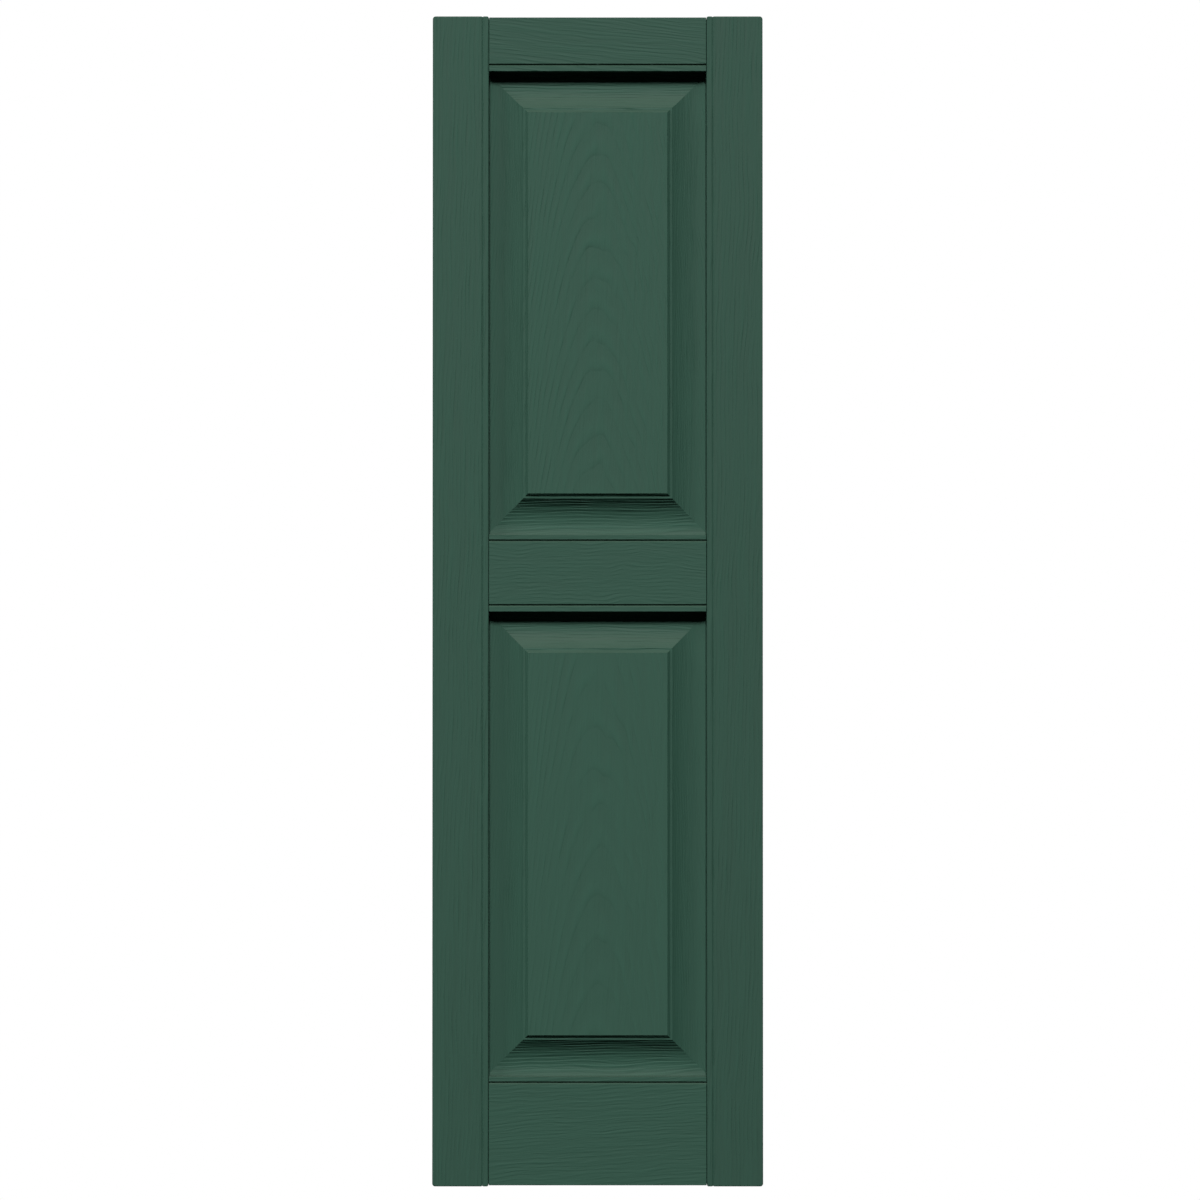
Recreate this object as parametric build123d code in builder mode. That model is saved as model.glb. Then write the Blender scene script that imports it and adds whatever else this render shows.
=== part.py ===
"""Raised panel shutter: stiles, rails and raised panels, each a moulded shell that is open at the back."""
import os

from build123d import *

os.makedirs("parts", exist_ok=True)

# Frame: X to the right seen from the front, Z up, the front towards minus Y, the wall plane at Y zero
# Overall size in millimetres
overall_width = 374.65
overall_height = 1327.0
overall_depth = 28.6

# Faces seen from the front
stile_width = 63.7
top_rail_height = 61.2
middle_rail_height = 87.3
bottom_rail_height = 122.9
rail_end_setback = 1.3

# Beads beside the panel openings, and the quirk grooves that set them off
bead_width = 7.0
stile_quirk_width = 2.6
stile_quirk_depth = 0.8
rail_quirk_width = 3.3
rail_quirk_depth = 2.0

# Rounded edges
corner_round = 3.4
bead_corner_round = 2.2
edge_round = 1.4
rail_edge_round = 0.6
rail_end_round = 0.7

# Raised panel, measured outwards from the edge of its flat field and back from the front plane
side_margin = 44.6
panel_margin = 46.8
field_drop = 0.3
step_run = 3.2
step_drop = 3.7
ledge_run = 2.3
ledge_fall = 0.15
cove_radius = 39.6
flange_drop = 14.0

# Moulded walls, ribs, laps and clearances
wall = 2.6
rib = 1.8
stile_lap = 11.0
rail_lap = 5.5
seam_gap = 0.35
panel_gap = 1.0
seam_depth = 4.5
slip_gap = 0.2
stile_bays = 12
rail_bays_across = 4
panel_bays_across = 3
panel_bays_up = 6

# Levels in front of the wall plane
flange_level = overall_depth - flange_drop
lap_level = flange_level - seam_depth
field_level = overall_depth - field_drop
step_level = field_level - step_drop
ledge_level = step_level - ledge_fall
skin_level = overall_depth - wall
overrun = 1.0

# Places across the shutter
outer_edge = overall_width / 2
inner_edge = outer_edge - stile_width
crown_width = 2 * (inner_edge - seam_gap)
face_width = 2 * (inner_edge - panel_gap)
tray_width = 2 * (inner_edge + stile_lap - slip_gap)

# Places up the shutter
stile_end = overall_height / 2
rail_end = stile_end - rail_end_setback
rails_height = top_rail_height + middle_rail_height + bottom_rail_height
opening_height = (2 * rail_end - rails_height) / 2
opening_width = 2 * inner_edge
upper_opening_top = rail_end - top_rail_height
upper_opening_bottom = upper_opening_top - opening_height
lower_opening_top = upper_opening_bottom - middle_rail_height
lower_opening_bottom = lower_opening_top - opening_height

# Planes across a stile and across a rail, both with the depth as their second direction
stile_section = Plane.XY.offset(-stile_end)
rail_section = Plane(origin=(outer_edge, 0, 0), x_dir=(0, 0, 1), z_dir=(-1, 0, 0))


# Quirk: a groove with a pointed floor
def quirk_outline(centre, surface, width, depth):
    """Corner points of a quirk cut into a surface that faces the second direction's low end."""
    half = width / 2
    mouth = surface - overrun
    floor = surface + depth
    left = centre - half
    right = centre + half
    return [(left, mouth), (left, surface), (centre, floor), (right, surface), (right, mouth)]


# Left stile: a channel moulding with ribs, closed ends and a bead along its inner edge
with BuildPart() as left_stile:
    with BuildSketch(Plane.XZ):
        with Locations((-outer_edge + stile_width / 2, 0)):
            Rectangle(stile_width, overall_height)
    extrude(amount=overall_depth)
    fillet(left_stile.edges().filter_by(Axis.Y).group_by(Axis.X)[0], corner_round)
    fillet(left_stile.edges().filter_by(Axis.Y).group_by(Axis.X)[-1], bead_corner_round)
    fillet(left_stile.faces().sort_by(Axis.Y)[0].edges(), edge_round)
    # Quirk along the bead, turned over both ends
    quirk_place = -inner_edge - bead_width
    face_quirk = quirk_outline(quirk_place, -overall_depth, stile_quirk_width, stile_quirk_depth)
    with BuildSketch(stile_section):
        with BuildLine():
            Polyline(face_quirk, close=True)
        make_face()
    extrude(amount=overall_height, mode=Mode.SUBTRACT)
    end_quirk = quirk_outline(quirk_place, -stile_end, stile_quirk_width, stile_quirk_depth)
    with BuildSketch(Plane.XZ):
        with BuildLine():
            Polyline(end_quirk, close=True)
        make_face()
        mirror(about=Plane.XZ)
    extrude(amount=overall_depth, mode=Mode.SUBTRACT)
    # Rebate that takes the flanges of the rails and panels
    with BuildSketch(Plane.XZ.offset(-overrun)):
        with Locations((-inner_edge + overrun, 0)):
            Rectangle(stile_lap + overrun, overall_height + 2 * overrun, align=(Align.MAX, Align.CENTER))
    extrude(amount=lap_level + overrun, mode=Mode.SUBTRACT)
    # Pockets between the ribs, in the channel and behind the bead
    bay_pitch = (overall_height - 2 * wall + rib) / stile_bays
    channel_width = stile_width - stile_lap - 2 * wall
    with BuildSketch(Plane.XZ.offset(-overrun)):
        with Locations((-outer_edge + wall, 0)):
            with GridLocations(1, bay_pitch, 1, stile_bays):
                Rectangle(channel_width, bay_pitch - rib, align=(Align.MIN, Align.CENTER))
    extrude(amount=skin_level + overrun, mode=Mode.SUBTRACT)
    with BuildSketch(Plane.XZ.offset(lap_level - overrun)):
        with Locations((-inner_edge - wall, 0)):
            with GridLocations(1, bay_pitch, 1, stile_bays):
                Rectangle(stile_lap - wall, bay_pitch - rib, align=(Align.MAX, Align.CENTER))
    extrude(amount=skin_level - lap_level + overrun, mode=Mode.SUBTRACT)
left_stile.part.label = "left_stile"
export_step(left_stile.part, "parts/left_stile.step")

# Right stile: the other hand of the left one
with BuildPart() as right_stile:
    mirror(left_stile.part, about=Plane.YZ)
right_stile.part.label = "right_stile"
export_step(right_stile.part, "parts/right_stile.step")


# Rail: a crown between the stiles on a tray whose flanges pass under the stile beads
def rail_shell(low, high, bead_below, bead_above, rib_rows):
    """Rail between two heights, with a bead and a lap on each edge that meets a panel."""
    lap = rail_lap + slip_gap
    tray_low = low + (lap if bead_below else 0)
    tray_high = high - (lap if bead_above else 0)
    tray_height = tray_high - tray_low
    tray_middle = (tray_low + tray_high) / 2
    with BuildPart() as rail:
        with BuildSketch(Plane.XZ.offset(flange_level)):
            with Locations((0, (low + high) / 2)):
                Rectangle(crown_width, high - low)
        extrude(amount=flange_drop)
        fillet(rail.faces().sort_by(Axis.Y)[0].edges().filter_by(Axis.X), rail_edge_round)
        fillet(rail.faces().sort_by(Axis.Y)[0].edges().filter_by(Axis.Z), rail_end_round)
        with BuildSketch(Plane.XZ):
            with Locations((0, tray_middle)):
                Rectangle(crown_width, tray_height)
        extrude(amount=flange_level)
        with BuildSketch(Plane.XZ):
            with Locations((0, tray_middle)):
                Rectangle(tray_width, tray_height)
        extrude(amount=lap_level)
        # Quirks beside the beads
        quirk_places = [low + bead_width] if bead_below else []
        quirk_places += [high - bead_width] if bead_above else []
        for quirk_place in quirk_places:
            face_quirk = quirk_outline(quirk_place, -overall_depth, rail_quirk_width, rail_quirk_depth)
            with BuildSketch(rail_section):
                with BuildLine():
                    Polyline(face_quirk, close=True)
                make_face()
            extrude(amount=overall_width, mode=Mode.SUBTRACT)
        # Hollow back: wide under the flanges, deeper under the crown, and a channel behind each bead
        with BuildSketch(Plane.XZ.offset(-overrun)):
            with Locations((0, tray_middle)):
                Rectangle(tray_width - 2 * wall, tray_height - 2 * wall)
        extrude(amount=lap_level - wall + overrun, mode=Mode.SUBTRACT)
        with BuildSketch(Plane.XZ.offset(-overrun)):
            with Locations((0, tray_middle)):
                Rectangle(crown_width - 2 * wall, tray_height - 2 * wall)
        extrude(amount=skin_level + overrun, mode=Mode.SUBTRACT)
        channel_places = [(low + wall + tray_low) / 2] if bead_below else []
        channel_places += [(high - wall + tray_high) / 2] if bead_above else []
        with BuildSketch(Plane.XZ.offset(flange_level - overrun)):
            with Locations(*[(0, place) for place in channel_places]):
                Rectangle(crown_width - 2 * wall, lap - wall)
        extrude(amount=skin_level - flange_level + overrun, mode=Mode.SUBTRACT)
        # Ribs that reach the wall plane
        with BuildSketch(Plane.XZ):
            with Locations((0, tray_middle)):
                with GridLocations(crown_width / rail_bays_across, 1, rail_bays_across - 1, 1):
                    Rectangle(rib, tray_height - wall)
                if rib_rows:
                    with GridLocations(1, tray_height / (rib_rows + 1), 1, rib_rows):
                        Rectangle(crown_width - wall, rib)
        extrude(amount=skin_level + wall / 2)
    return rail.part


with BuildPart() as top_rail:
    add(rail_shell(upper_opening_top, rail_end, True, False, 0))
top_rail.part.label = "top_rail"
export_step(top_rail.part, "parts/top_rail.step")

with BuildPart() as middle_rail:
    add(rail_shell(lower_opening_top, upper_opening_bottom, True, True, 0))
middle_rail.part.label = "middle_rail"
export_step(middle_rail.part, "parts/middle_rail.step")

with BuildPart() as bottom_rail:
    add(rail_shell(-rail_end, lower_opening_bottom, False, True, 1))
bottom_rail.part.label = "bottom_rail"
export_step(bottom_rail.part, "parts/bottom_rail.step")


# Raised panel: a flat field, and a step, ledge and cove swept round it with mitred corners
def panel_block(plate_width, plate_height, skin, back):
    """Solid block behind a raised panel's face, with the face moved in by the thickness of a skin."""
    field_width = opening_width - 2 * side_margin
    field_height = opening_height - 2 * panel_margin
    inset = skin / 2
    with BuildPart() as block:
        # Right half of the moulding round the field, and its mirror image
        with BuildLine(Plane.XZ) as field_edge:
            Polyline(
                (0, -field_height / 2),
                (field_width / 2, -field_height / 2),
                (field_width / 2, field_height / 2),
                (0, field_height / 2),
            )
        moulding_plane = Plane(origin=(0, 0, -field_height / 2), x_dir=(0, 0, -1), z_dir=(-1, 0, 0))
        with BuildSketch(moulding_plane) as moulding:
            with BuildLine():
                cove_start = (step_run + ledge_run, ledge_level - skin)
                cove_end = (panel_margin, flange_level - skin)
                Polyline(
                    cove_end,
                    (panel_margin, -back),
                    (-inset, -back),
                    (-inset, field_level - skin),
                    (step_run - inset, step_level - skin),
                    cove_start,
                )
                RadiusArc(cove_start, cove_end, -cove_radius)
            make_face()
        sweep(moulding.sketch, path=field_edge.wire(), transition=Transition.RIGHT)
        mirror(about=Plane.YZ)
        # Field, plate whose sides pass under the stile beads, and strips that pass under the rail beads
        with BuildSketch(Plane.XZ.offset(-back)):
            Rectangle(field_width - 2 * inset, field_height - 2 * inset)
        extrude(amount=field_level - skin + back)
        with BuildSketch(Plane.XZ.offset(-back)):
            Rectangle(plate_width, plate_height)
        extrude(amount=lap_level - skin + back)
        with BuildSketch(Plane.XZ.offset(-back)):
            Rectangle(face_width, plate_height)
            Rectangle(face_width, opening_height, mode=Mode.SUBTRACT)
        extrude(amount=flange_level - skin + back)
        # Drop at both sides, which leaves a slot beside each stile
        with BuildSketch(Plane.XZ.offset(lap_level - skin)):
            Rectangle(plate_width + 2 * overrun, plate_height + 2 * overrun)
            Rectangle(face_width - 2 * skin, plate_height + 2 * overrun, mode=Mode.SUBTRACT)
        extrude(amount=overall_depth, mode=Mode.SUBTRACT)
    return block.part


plate_height = opening_height + 2 * rail_lap
panel_face = panel_block(tray_width, plate_height, 0, 0)
panel_core = panel_block(tray_width - 2 * wall, plate_height - 2 * wall, wall, overrun)

# Hollow behind the panel face, cut into bays so that the ribs are left standing
with BuildPart() as panel_bays:
    add(panel_core)
    with BuildSketch(Plane.XZ.offset(-2 * overrun)):
        with GridLocations(tray_width / panel_bays_across, 1, panel_bays_across - 1, 1):
            Rectangle(rib, plate_height)
        with GridLocations(1, plate_height / panel_bays_up, 1, panel_bays_up - 1):
            Rectangle(tray_width, rib)
    extrude(amount=overall_depth + 2 * overrun, mode=Mode.SUBTRACT)

with BuildPart() as upper_panel:
    with Locations((0, 0, (upper_opening_top + upper_opening_bottom) / 2)):
        add(panel_face)
        add(panel_bays.part, mode=Mode.SUBTRACT)
upper_panel.part.label = "upper_panel"
export_step(upper_panel.part, "parts/upper_panel.step")

with BuildPart() as lower_panel:
    with Locations((0, 0, (lower_opening_top + lower_opening_bottom) / 2)):
        add(panel_face)
        add(panel_bays.part, mode=Mode.SUBTRACT)
lower_panel.part.label = "lower_panel"
export_step(lower_panel.part, "parts/lower_panel.step")
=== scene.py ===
import math

import bpy
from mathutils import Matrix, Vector


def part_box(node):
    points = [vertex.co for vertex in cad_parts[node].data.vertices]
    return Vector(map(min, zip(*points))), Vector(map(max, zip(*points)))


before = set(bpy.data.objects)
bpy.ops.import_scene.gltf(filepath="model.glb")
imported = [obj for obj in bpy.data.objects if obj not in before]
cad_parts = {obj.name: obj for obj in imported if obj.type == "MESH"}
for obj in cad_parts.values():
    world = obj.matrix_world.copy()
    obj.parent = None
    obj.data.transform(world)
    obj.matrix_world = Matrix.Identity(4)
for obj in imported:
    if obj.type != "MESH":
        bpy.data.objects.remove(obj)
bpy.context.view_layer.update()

# Shutter: front plane, foot, and how far the raised fields stand in from the stiles and the rails
STILE_LOW, STILE_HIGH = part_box("left_stile")
FRONT_PLANE = STILE_LOW.y
FOOT = STILE_LOW.z
SIDE_MARGIN = 0.0446
END_MARGIN = 0.0468
RAIL_LAP = 0.0055
FIELD_HALF_WIDTH = -STILE_HIGH.x - SIDE_MARGIN

# Camera: straight on, a little below the middle and tipped up, as far off as the recesses show
VIEW_DISTANCE = 5.6
VIEW_FRAME = 1.3605
VIEW_AIM = Vector((0.00265, FRONT_PLANE, 0.00035))
VIEW_TIP = math.radians(0.9)
SENSOR_WIDTH = 36.0

# Plastic: dark green under a grey haze
PLASTIC_GREEN = (0.0130, 0.0612, 0.0378)
PLASTIC_PALE = (0.0180, 0.0730, 0.0470)
PLASTIC_IOR = 1.5
HAZE_ROUGHNESS = 0.76
HAZE_SPREAD = 0.12

# Painted light: a grey sheen painted on faces that look up and painted shade on those that look down, and
# the parts of the normal that each comes in between
UPWARD_PAINTED_SHEEN = (1.36, 0.91, 0.91, 1.0)
UPWARD_SHEEN_RANGE = (0.05, 0.45)
DOWNWARD_PAINTED_SHADE = (0.55, 0.80, 0.77, 1.0)
DOWNWARD_SHADE_RANGE = (-0.48, -0.66)

# Embossing: height, depth by place, and the parts of the normal that a depth comes in between
GRAIN_HEIGHT = 0.00045
STILE_DEPTH = 2.2
COVE_DEPTH = 2.2
UNDER_DEPTH = 2.0
BACK_DEPTH = 0.15
FRONT_RANGE = (-0.1, -0.5)
UNDER_RANGE = (-0.3, -0.6)
# Painted shade: how much darker the hollows of the grain are painted
HOLLOW_PAINTED_SHADE = 0.9
WRAP_SHARE = 0.9

# Growth lines: spacing, wander, form of the arches, and the lean of the straight lines
LINE_SPACING = 0.006
LINE_SWAY = 0.016
LIFT_SWAY = 4.0
ARCH_BOLDNESS = 1.2
ARCH_POINT = 0.15
ARCH_TOP = 0.008
PANEL_FLANK = 2.1
STRAIGHT_ARCH = 0.01
STRAIGHT_FLANK = 1.2
STILE_SLOPE = 0.03
RAIL_SLOPE = 0.02
COVE_SLOPE = 0.03
STILE_HEART = 0.05
RAIL_HEART = 0.02

# Section of one growth line, and how the lines break up in patches
RIDGE_POWER = 4.0
RIDGE_GAIN = 12.2
RIDGE_MIDDLE = 0.4
PATCH_FLOOR = 0.33
PATCH_GAIN = 2.4

# Noises of the grain: waves in a metre across it and along it, detail, and step of the seed
WANDER_NOISE = (22.0, 6.0, 2.0, 0.0)
PATCH_NOISE = (70.0, 24.0, 2.0, 1.9)
STREAK_NOISE = (230.0, 12.0, 2.0, 3.7)
PORE_NOISE = (620.0, 34.0, 1.0, 8.1)
CLOUD_NOISE = (60.0, 4.0, 3.0, 5.3)
NOISE_ROUGHNESS = 0.55
NOISE_MIDDLE = 0.5

# What each part of the grain adds to the relief
STREAK_SHARE = 0.8
LINE_SHARE = 0.3
PORE_SHARE = 0.3

# Floor: place, size, fading rim, and its grey where it is seen and in the light it throws back
FLOOR_DROP = 0.29
FLOOR_RADIUS = 1.7
FLOOR_SIDES = 96
FLOOR_FADE = (0.7, 1.65)
FLOOR_SHOWN = 0.62
FLOOR_DIM = 0.02

# World: strength of its white where it is seen and elsewhere
WORLD_SHOWN = 1.0
WORLD_DIM = 0.004

# Places of the sockets on a Mix node
LOW_NUMBER = 2
HIGH_NUMBER = 3
LOW_COLOUR = 6
HIGH_COLOUR = 7
MIXED_COLOUR = 2


def new_group(name, inputs, outputs):
    """Shader group with named number sockets; gives back the tree with its ends."""
    tree = bpy.data.node_groups.new(name, "ShaderNodeTree")
    for socket_name, default in inputs:
        socket = tree.interface.new_socket(socket_name, in_out="INPUT", socket_type="NodeSocketFloat")
        socket.default_value = default
    for socket_name in outputs:
        tree.interface.new_socket(socket_name, in_out="OUTPUT", socket_type="NodeSocketFloat")
    return tree, tree.nodes.new("NodeGroupInput"), tree.nodes.new("NodeGroupOutput")


def place_group(tree, group):
    node = tree.nodes.new("ShaderNodeGroup")
    node.node_tree = group
    return node


def join(tree, source, target):
    tree.links.new(source, target)


def split(tree, vector):
    """X, Y and Z of a vector."""
    node = tree.nodes.new("ShaderNodeSeparateXYZ")
    join(tree, vector, node.inputs[0])
    return node.outputs


def math_node(tree, operation, first, second=None):
    """Math node whose inputs are sockets or plain numbers; gives back its output."""
    node = tree.nodes.new("ShaderNodeMath")
    node.operation = operation
    for place, value in enumerate((first, second)):
        if value is None:
            continue
        if isinstance(value, (int, float)):
            node.inputs[place].default_value = value
        else:
            join(tree, value, node.inputs[place])
    return node.outputs[0]


def mix_value(tree, mask, low, high):
    """One value where the mask is 0 and another where it is 1."""
    node = tree.nodes.new("ShaderNodeMix")
    node.data_type = "FLOAT"
    join(tree, mask, node.inputs[0])
    join(tree, low, node.inputs[LOW_NUMBER])
    join(tree, high, node.inputs[HIGH_NUMBER])
    return node.outputs[0]


def ramp(tree, value, reach, low=0.0, high=1.0):
    """Soft step of a value, from low at the start of its reach to high at the end."""
    node = tree.nodes.new("ShaderNodeMapRange")
    node.interpolation_type = "SMOOTHSTEP"
    node.inputs["From Min"].default_value = reach[0]
    node.inputs["From Max"].default_value = reach[1]
    node.inputs["To Min"].default_value = low
    node.inputs["To Max"].default_value = high
    join(tree, value, node.inputs["Value"])
    return node.outputs["Result"]


def tinted(tree, colour, tint, mask):
    """Colour multiplied by a tint where the mask is 1."""
    node = tree.nodes.new("ShaderNodeMix")
    node.data_type = "RGBA"
    node.blend_type = "MULTIPLY"
    join(tree, mask, node.inputs[0])
    join(tree, colour, node.inputs[LOW_COLOUR])
    node.inputs[HIGH_COLOUR].default_value = tint
    return node.outputs[MIXED_COLOUR]


def grain_noise(tree, across, along, seed, noise_form):
    """Noise drawn out along the grain; gives back a value from 0 to 1."""
    across_waves, along_waves, detail, seed_step = noise_form
    place = tree.nodes.new("ShaderNodeCombineXYZ")
    join(tree, math_node(tree, "MULTIPLY", across, across_waves), place.inputs[0])
    join(tree, math_node(tree, "MULTIPLY", along, along_waves), place.inputs[1])
    join(tree, math_node(tree, "ADD", seed, seed_step), place.inputs[2])
    noise = tree.nodes.new("ShaderNodeTexNoise")
    noise.inputs["Scale"].default_value = 1.0
    noise.inputs["Detail"].default_value = detail
    noise.inputs["Roughness"].default_value = NOISE_ROUGHNESS
    join(tree, place.outputs[0], noise.inputs["Vector"])
    return noise.outputs["Fac"]


def growth_rings(tree, given, bent, sway):
    """Count of growth lines up to a place: arches over the middle, close and near straight beside it."""
    arch = given.outputs["Arch"]
    aside = math_node(tree, "ABSOLUTE", bent)
    lean = math_node(tree, "ARCTANGENT", math_node(tree, "DIVIDE", aside, arch))
    flank = math_node(tree, "SUBTRACT", aside, math_node(tree, "MULTIPLY", arch, lean))
    flank = math_node(tree, "MULTIPLY", flank, given.outputs["Flank"])
    peak = math_node(tree, "ADD", math_node(tree, "MULTIPLY", bent, bent), ARCH_TOP * ARCH_TOP)
    peak = math_node(tree, "MULTIPLY", math_node(tree, "SQRT", peak), ARCH_POINT)
    lift = math_node(tree, "ADD", given.outputs["Along"], math_node(tree, "MULTIPLY", sway, LIFT_SWAY))
    rise = math_node(tree, "MULTIPLY", lift, given.outputs["Slope"])
    passed = math_node(tree, "ADD", math_node(tree, "ADD", flank, peak), rise)
    return math_node(tree, "DIVIDE", passed, LINE_SPACING)


def line_relief(tree, given, bent, rings):
    """Relief of the growth lines: a short steep edge that dies away slowly, bolder on the arches."""
    share = math_node(tree, "SUBTRACT", 1.0, math_node(tree, "FRACT", rings))
    swell = math_node(tree, "MULTIPLY", math_node(tree, "POWER", share, RIDGE_POWER), RIDGE_GAIN)
    ridge = math_node(tree, "MULTIPLY", swell, math_node(tree, "SUBTRACT", 1.0, share))
    ridge = math_node(tree, "SUBTRACT", ridge, RIDGE_MIDDLE)
    across, along, seed = (given.outputs[name] for name in ("Across", "Along", "Seed"))
    patches = grain_noise(tree, across, along, seed, PATCH_NOISE)
    broken = math_node(tree, "MULTIPLY", math_node(tree, "SUBTRACT", patches, PATCH_FLOOR), PATCH_GAIN)
    lines = math_node(tree, "MULTIPLY", ridge, math_node(tree, "MAXIMUM", broken, 0.0))
    arch = given.outputs["Arch"]
    span = math_node(tree, "ADD", arch, math_node(tree, "ABSOLUTE", bent))
    near = math_node(tree, "MULTIPLY", math_node(tree, "DIVIDE", arch, span), ARCH_BOLDNESS)
    return math_node(tree, "MULTIPLY", lines, math_node(tree, "ADD", near, 1.0))


def embossed_grain_group():
    """Embossed woodgrain: arched growth lines, long streaks and fine pores, as a height and a colour mix
    that varies at random, with painted shade in its hollows.
    """
    inputs = [
        ("Across", 0.0),
        ("Along", 0.0),
        ("Seed", 0.0),
        ("Arch", 0.05),
        ("Flank", 2.0),
        ("Slope", 0.1),
        ("Depth", 1.0),
    ]
    tree, given, result = new_group("embossed_grain", inputs, ["Height", "Tone And Hollow Shade"])
    across, along, seed = (given.outputs[name] for name in ("Across", "Along", "Seed"))
    depth = given.outputs["Depth"]
    wander = grain_noise(tree, across, along, seed, WANDER_NOISE)
    sway = math_node(tree, "MULTIPLY", math_node(tree, "SUBTRACT", wander, NOISE_MIDDLE), LINE_SWAY)
    bent = math_node(tree, "ADD", across, sway)
    lines = line_relief(tree, given, bent, growth_rings(tree, given, bent, sway))
    streaks = grain_noise(tree, bent, along, seed, STREAK_NOISE)
    pores = grain_noise(tree, bent, along, seed, PORE_NOISE)
    relief = math_node(tree, "SUBTRACT", streaks, NOISE_MIDDLE)
    relief = math_node(tree, "MULTIPLY", relief, STREAK_SHARE)
    relief = math_node(tree, "ADD", relief, math_node(tree, "MULTIPLY", lines, LINE_SHARE))
    height = math_node(tree, "ADD", relief, math_node(tree, "MULTIPLY", pores, PORE_SHARE))
    join(tree, math_node(tree, "MULTIPLY", height, depth), result.inputs["Height"])
    # Painted shade: the hollows of the grain are painted darker than its ridges
    clouds = grain_noise(tree, bent, along, seed, CLOUD_NOISE)
    hollow_shade = math_node(tree, "MULTIPLY", math_node(tree, "MULTIPLY", relief, depth), HOLLOW_PAINTED_SHADE)
    join(tree, math_node(tree, "ADD", clouds, hollow_shade), result.inputs["Tone And Hollow Shade"])
    return tree


def mitre_group():
    """Run of the grain on a raised panel: 1 on the coves above and below the field, 0 elsewhere."""
    inputs = [("Sideways", 0.0), ("Up", 0.0), ("Half Width", 0.1), ("Half Height", 0.2)]
    tree, given, result = new_group("cove_mitre", inputs, ["Level Cove"])
    sideways = math_node(tree, "ABSOLUTE", given.outputs["Sideways"])
    upwards = math_node(tree, "ABSOLUTE", given.outputs["Up"])
    out_side = math_node(tree, "SUBTRACT", sideways, given.outputs["Half Width"])
    out_end = math_node(tree, "SUBTRACT", upwards, given.outputs["Half Height"])
    past_side = math_node(tree, "MAXIMUM", out_side, 0.0)
    join(tree, math_node(tree, "GREATER_THAN", out_end, past_side), result.inputs["Level Cove"])
    return tree


EMBOSSED_GRAIN = embossed_grain_group()
COVE_MITRE = mitre_group()


def embossing_depth(tree, facing):
    """Depth by the way a face looks: shallow at the back and sides, full in front, deeper below."""
    front = ramp(tree, facing[1], FRONT_RANGE, BACK_DEPTH, 1.0)
    under = ramp(tree, facing[2], UNDER_RANGE, 1.0, UNDER_DEPTH)
    return math_node(tree, "MULTIPLY", front, under)


def painted_light_by_facing(tree, colour, facing):
    """Colour with a painted grey sheen on faces that look up and painted shade on those that look down."""
    sheened = tinted(tree, colour, UPWARD_PAINTED_SHEEN, ramp(tree, facing[2], UPWARD_SHEEN_RANGE))
    return tinted(tree, sheened, DOWNWARD_PAINTED_SHADE, ramp(tree, facing[2], DOWNWARD_SHADE_RANGE))


def on_coves(tree, turned, elsewhere, level_cove):
    """One value on the coves above and below the field and another elsewhere."""
    change = math_node(tree, "MULTIPLY", turned, level_cove - elsewhere)
    return math_node(tree, "ADD", change, elsewhere)


def wrapped(tree, along_face, inward):
    """Way across a moulding that goes on round its edges and down its coves."""
    side = math_node(tree, "SIGN", along_face)
    return math_node(tree, "ADD", along_face, math_node(tree, "MULTIPLY", side, inward))


def grain_ways(tree, place, heart):
    """Ways sideways and upwards from the heart of the grain, and inward from the front."""
    spot = split(tree, place)
    sideways = math_node(tree, "SUBTRACT", spot[0], heart[0])
    upwards = math_node(tree, "SUBTRACT", spot[2], heart[1])
    inward = math_node(tree, "SUBTRACT", spot[1], FRONT_PLANE)
    return sideways, upwards, math_node(tree, "MULTIPLY", inward, WRAP_SHARE)


def set_form(grain, arch, flank, slope):
    grain.inputs["Arch"].default_value = arch
    grain.inputs["Flank"].default_value = flank
    grain.inputs["Slope"].default_value = slope


def finish_plastic(tree, grain, facing, shade):
    """Colour, haze and relief of the green plastic from its grain; the colour also carries painted sheen
    and painted shade.
    """
    shader = tree.nodes["Principled BSDF"]
    # Colour mix from the grain, with painted shade in its hollows
    tone_and_hollow_shade = grain.outputs["Tone And Hollow Shade"]
    colour = tree.nodes.new("ShaderNodeMix")
    colour.data_type = "RGBA"
    # The piece's factor: partly its own colour, partly painted light and shade
    colour.inputs[LOW_COLOUR].default_value = [part * shade for part in PLASTIC_GREEN] + [1.0]
    colour.inputs[HIGH_COLOUR].default_value = [part * shade for part in PLASTIC_PALE] + [1.0]
    join(tree, tone_and_hollow_shade, colour.inputs[0])
    # Painted sheen on faces that look up and painted shade on faces that look down
    painted_colour = painted_light_by_facing(tree, colour.outputs[MIXED_COLOUR], facing)
    join(tree, painted_colour, shader.inputs["Base Color"])
    rough = math_node(tree, "MULTIPLY", math_node(tree, "SUBTRACT", tone_and_hollow_shade, NOISE_MIDDLE), HAZE_SPREAD)
    join(tree, math_node(tree, "ADD", rough, HAZE_ROUGHNESS), shader.inputs["Roughness"])
    shader.inputs["IOR"].default_value = PLASTIC_IOR
    bump = tree.nodes.new("ShaderNodeBump")
    bump.inputs["Strength"].default_value = 1.0
    bump.inputs["Distance"].default_value = GRAIN_HEIGHT
    join(tree, grain.outputs["Height"], bump.inputs["Height"])
    join(tree, bump.outputs["Normal"], shader.inputs["Normal"])


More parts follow.
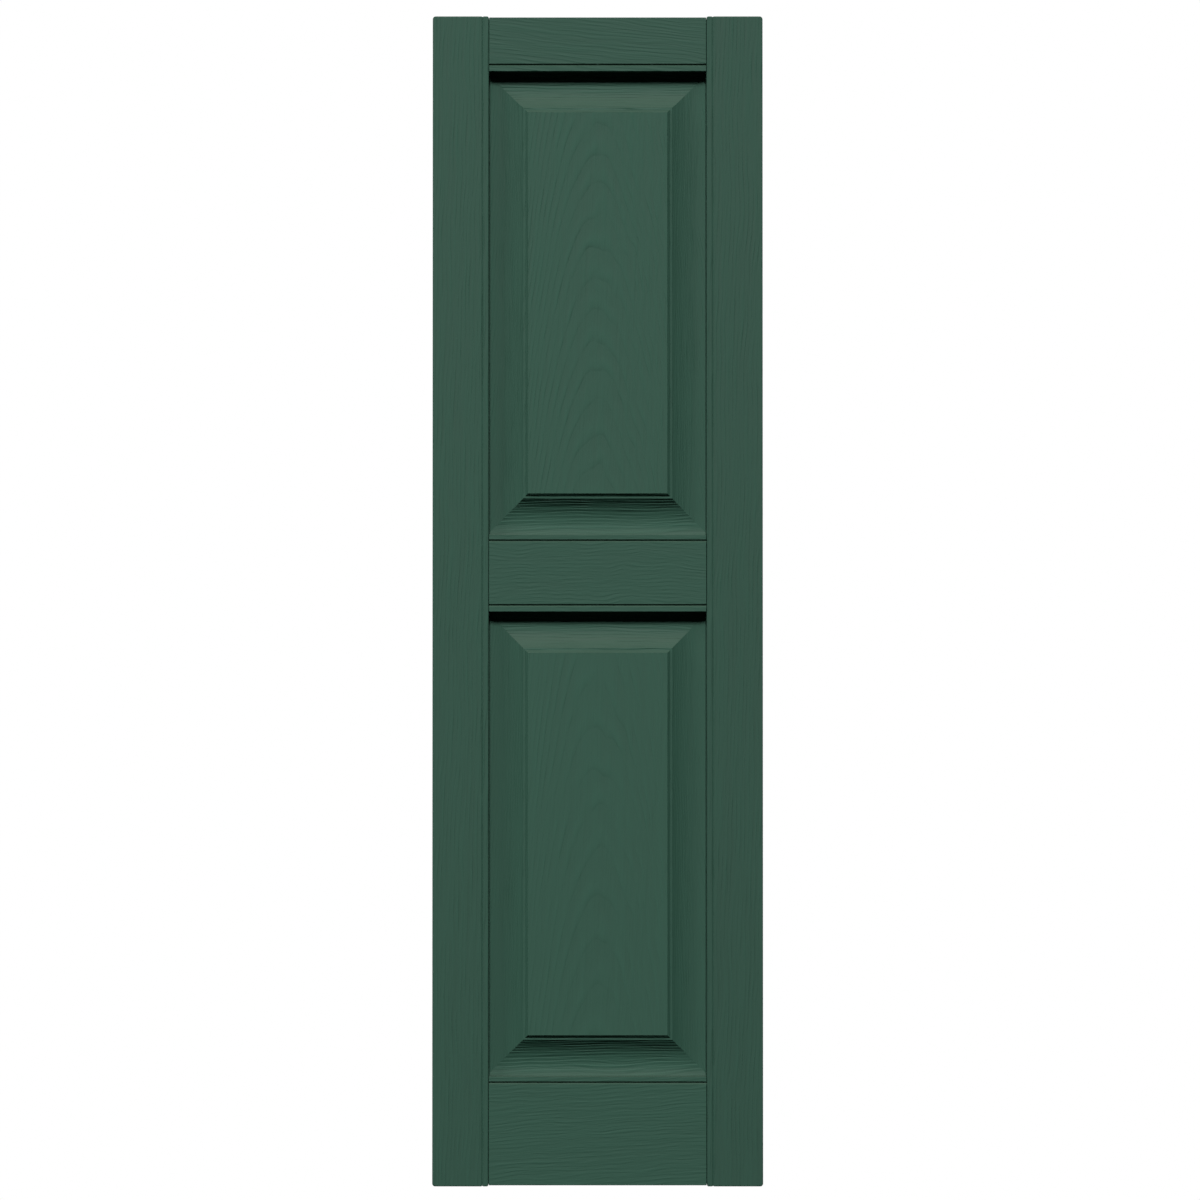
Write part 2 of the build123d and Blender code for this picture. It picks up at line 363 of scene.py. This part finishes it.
def moulded_plastic(node, seed, shade, heart, lay_grain):
    """Green plastic for one moulding; lay_grain lays its grain and gives back the grain's depth."""
    material = bpy.data.materials.new(node + "_plastic")
    material.use_nodes = True
    # The correction would soften the relief where light only grazes a cove
    material.cycles.use_bump_map_correction = False
    tree = material.node_tree
    place = tree.nodes.new("ShaderNodeTexCoord")
    facing = split(tree, place.outputs["Normal"])
    grain = place_group(tree, EMBOSSED_GRAIN)
    grain.inputs["Seed"].default_value = seed
    depth = lay_grain(tree, grain, grain_ways(tree, place.outputs["Object"], heart))
    embossed = math_node(tree, "MULTIPLY", embossing_depth(tree, facing), depth)
    join(tree, embossed, grain.inputs["Depth"])
    finish_plastic(tree, grain, facing, shade)
    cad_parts[node].material_slots[0].material = material


def dress_stile(node, seed, shade):
    """Stile with upright, nearly straight grain whose heart lies to one side."""
    low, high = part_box(node)
    middle = (low + high) / 2

    def upright(tree, grain, ways):
        sideways, upwards, inward = ways
        set_form(grain, STRAIGHT_ARCH, STRAIGHT_FLANK, STILE_SLOPE)
        join(tree, wrapped(tree, sideways, inward), grain.inputs["Across"])
        join(tree, upwards, grain.inputs["Along"])
        return STILE_DEPTH

    moulded_plastic(node, seed, shade, (middle.x + STILE_HEART, middle.z), upright)


def dress_rail(node, seed, shade, depth, tilt, shortness):
    """Rail with level, slightly tilted grain whose heart lies below the rail."""
    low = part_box(node)[0]

    def level(tree, grain, ways):
        sideways, upwards, inward = ways
        set_form(grain, STRAIGHT_ARCH, STRAIGHT_FLANK, RAIL_SLOPE)
        leaning = math_node(tree, "MULTIPLY", sideways, tilt)
        across = math_node(tree, "ADD", wrapped(tree, upwards, inward), leaning)
        join(tree, across, grain.inputs["Across"])
        join(tree, math_node(tree, "MULTIPLY", sideways, shortness), grain.inputs["Along"])
        return depth

    moulded_plastic(node, seed, shade, (0.0, low.z - RAIL_HEART), level)


def dress_panel(node, seed, shade, arch, slope, depth):
    """Raised panel: arched grain on the field and grain along each cove, mitred at the corners."""
    low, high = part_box(node)
    middle = (low + high) / 2
    half_height = (high.z - low.z) / 2 - RAIL_LAP - END_MARGIN

    def mitred(tree, grain, ways):
        sideways, upwards, inward = ways
        set_form(grain, arch, PANEL_FLANK, slope)
        mitre = place_group(tree, COVE_MITRE)
        mitre.inputs["Half Width"].default_value = FIELD_HALF_WIDTH
        mitre.inputs["Half Height"].default_value = half_height
        join(tree, sideways, mitre.inputs["Sideways"])
        join(tree, upwards, mitre.inputs["Up"])
        turned = mitre.outputs["Level Cove"]
        join(tree, on_coves(tree, turned, PANEL_FLANK, STRAIGHT_FLANK), grain.inputs["Flank"])
        join(tree, on_coves(tree, turned, slope, COVE_SLOPE), grain.inputs["Slope"])
        across = mix_value(tree, turned, wrapped(tree, sideways, inward), wrapped(tree, upwards, inward))
        join(tree, across, grain.inputs["Across"])
        join(tree, mix_value(tree, turned, upwards, sideways), grain.inputs["Along"])
        return on_coves(tree, turned, depth, COVE_DEPTH)

    moulded_plastic(node, seed, shade, (middle.x, middle.z), mitred)


def dress_shutter():
    """Gives each moulding its plastic, lighter or darker by a factor of its own: partly its own colour,
    partly painted light and shade.
    """
    # Shade factors: partly each piece's own colour, partly painted light and shade
    dress_stile("left_stile", seed=1.3, shade=0.975)
    dress_stile("right_stile", seed=4.9, shade=0.925)
    dress_rail("top_rail", seed=2.2, shade=0.955, depth=1.15, tilt=0.10, shortness=1.2)
    dress_rail("middle_rail", seed=6.4, shade=1.0, depth=0.85, tilt=-0.04, shortness=2.4)
    dress_rail("bottom_rail", seed=9.1, shade=1.035, depth=1.05, tilt=-0.08, shortness=1.5)
    dress_panel("upper_panel", seed=3.1, shade=1.045, arch=0.07, slope=0.17, depth=1.7)
    dress_panel("lower_panel", seed=7.7, shade=1.07, arch=0.08, slope=0.12, depth=1.3)


def background_seen(tree, place):
    """1 for rays from the camera, and for mirrored or refracted rays that run behind the shutter."""
    behind = math_node(tree, "GREATER_THAN", split(tree, place)[1], 0.0)
    path = tree.nodes.new("ShaderNodeLightPath")
    turned = math_node(tree, "MAXIMUM", path.outputs["Is Glossy Ray"], path.outputs["Is Transmission Ray"])
    turned = math_node(tree, "MULTIPLY", turned, behind)
    return math_node(tree, "MAXIMUM", path.outputs["Is Camera Ray"], turned)


def mix_shaders(tree, mask, low, high):
    """One shader where the mask is 0 and another where it is 1."""
    node = tree.nodes.new("ShaderNodeMixShader")
    join(tree, mask, node.inputs[0])
    join(tree, low, node.inputs[1])
    join(tree, high, node.inputs[2])
    return node.outputs[0]


def floor_grey(tree, level):
    shader = tree.nodes.new("ShaderNodeBsdfDiffuse")
    shader.inputs["Color"].default_value = (level, level, level, 1.0)
    return shader.outputs[0]


def floor_material():
    """Pale grey, dim in the light it throws back, and clear at the rim and from below."""
    material = bpy.data.materials.new("floor_pale")
    material.use_nodes = True
    tree = material.node_tree
    tree.nodes.clear()
    out = tree.nodes.new("ShaderNodeOutputMaterial")
    place = tree.nodes.new("ShaderNodeTexCoord").outputs["Object"]
    shown = background_seen(tree, place)
    ground = mix_shaders(tree, shown, floor_grey(tree, FLOOR_DIM), floor_grey(tree, FLOOR_SHOWN))
    reach = tree.nodes.new("ShaderNodeVectorMath")
    reach.operation = "LENGTH"
    join(tree, place, reach.inputs[0])
    rim = ramp(tree, reach.outputs["Value"], FLOOR_FADE)
    below = tree.nodes.new("ShaderNodeNewGeometry").outputs["Backfacing"]
    clear = tree.nodes.new("ShaderNodeBsdfTransparent").outputs[0]
    faded = mix_shaders(tree, math_node(tree, "MAXIMUM", rim, below), ground, clear)
    join(tree, faded, out.inputs["Surface"])
    return material


def studio_floor():
    """Round floor some way below the hung shutter."""
    bpy.ops.mesh.primitive_circle_add(
        vertices=FLOOR_SIDES,
        radius=FLOOR_RADIUS,
        fill_type="NGON",
        location=(0.0, 0.0, FOOT - FLOOR_DROP),
    )
    floor = bpy.context.object
    floor.name = "floor"
    floor.data.materials.append(floor_material())


def world_light(tree, strength):
    shader = tree.nodes.new("ShaderNodeBackground")
    shader.inputs["Color"].default_value = (1.0, 1.0, 1.0, 1.0)
    shader.inputs["Strength"].default_value = strength
    return shader.outputs[0]


def studio_world():
    """White behind the shutter, with next to no light of its own."""
    world = bpy.data.worlds.new("studio")
    bpy.context.scene.world = world
    world.use_nodes = True
    tree = world.node_tree
    tree.nodes.clear()
    out = tree.nodes.new("ShaderNodeOutputWorld")
    direction = tree.nodes.new("ShaderNodeTexCoord").outputs["Generated"]
    shown = background_seen(tree, direction)
    light = mix_shaders(tree, shown, world_light(tree, WORLD_DIM), world_light(tree, WORLD_SHOWN))
    join(tree, light, out.inputs["Surface"])


def soft_light(name, azimuth, elevation, distance, size, level):
    """Rectangular lamp aimed at the shutter's middle; level 1 lights a white card facing it to white."""
    data = bpy.data.lights.new(name, "AREA")
    data.shape = "RECTANGLE"
    data.size, data.size_y = size
    data.energy = level * math.pi * math.pi * distance * distance
    lamp = bpy.data.objects.new(name, data)
    bpy.context.scene.collection.objects.link(lamp)
    turn = math.radians(azimuth)
    rise = math.radians(elevation)
    away = Vector((math.sin(turn) * math.cos(rise), -math.cos(turn) * math.cos(rise), math.sin(rise)))
    lamp.location = away * distance
    lamp.rotation_euler = (-away).to_track_quat("-Z", "Y").to_euler()


def studio_lights():
    """High soft key in front, weaker lamps at both sides and two behind."""
    soft_light("key_light", azimuth=-1.0, elevation=40.5, distance=26.0, size=(7.2, 5.0), level=1.01)
    soft_light("left_light", azimuth=-62.0, elevation=33.0, distance=10.0, size=(4.5, 2.5), level=0.42)
    soft_light("right_light", azimuth=62.0, elevation=33.0, distance=10.0, size=(4.5, 2.5), level=0.19)
    soft_light("back_left_light", azimuth=-145.0, elevation=30.0, distance=4.0, size=(2.0, 2.0), level=0.6)
    soft_light("back_right_light", azimuth=145.0, elevation=30.0, distance=4.0, size=(2.0, 2.0), level=0.6)


def studio_camera():
    """Camera whose frame spans VIEW_FRAME at the shutter's front."""
    data = bpy.data.cameras.new("camera")
    data.sensor_width = SENSOR_WIDTH
    data.lens = SENSOR_WIDTH * VIEW_DISTANCE / VIEW_FRAME
    camera = bpy.data.objects.new("camera", data)
    bpy.context.scene.collection.objects.link(camera)
    back = Vector((0.0, -math.cos(VIEW_TIP), -math.sin(VIEW_TIP))) * VIEW_DISTANCE
    camera.location = VIEW_AIM + back
    camera.rotation_euler = (math.radians(90.0) + VIEW_TIP, 0.0, 0.0)
    bpy.context.scene.camera = camera


dress_shutter()
studio_floor()
studio_world()
studio_lights()
studio_camera()
bpy.context.scene.view_settings.view_transform = "Standard"
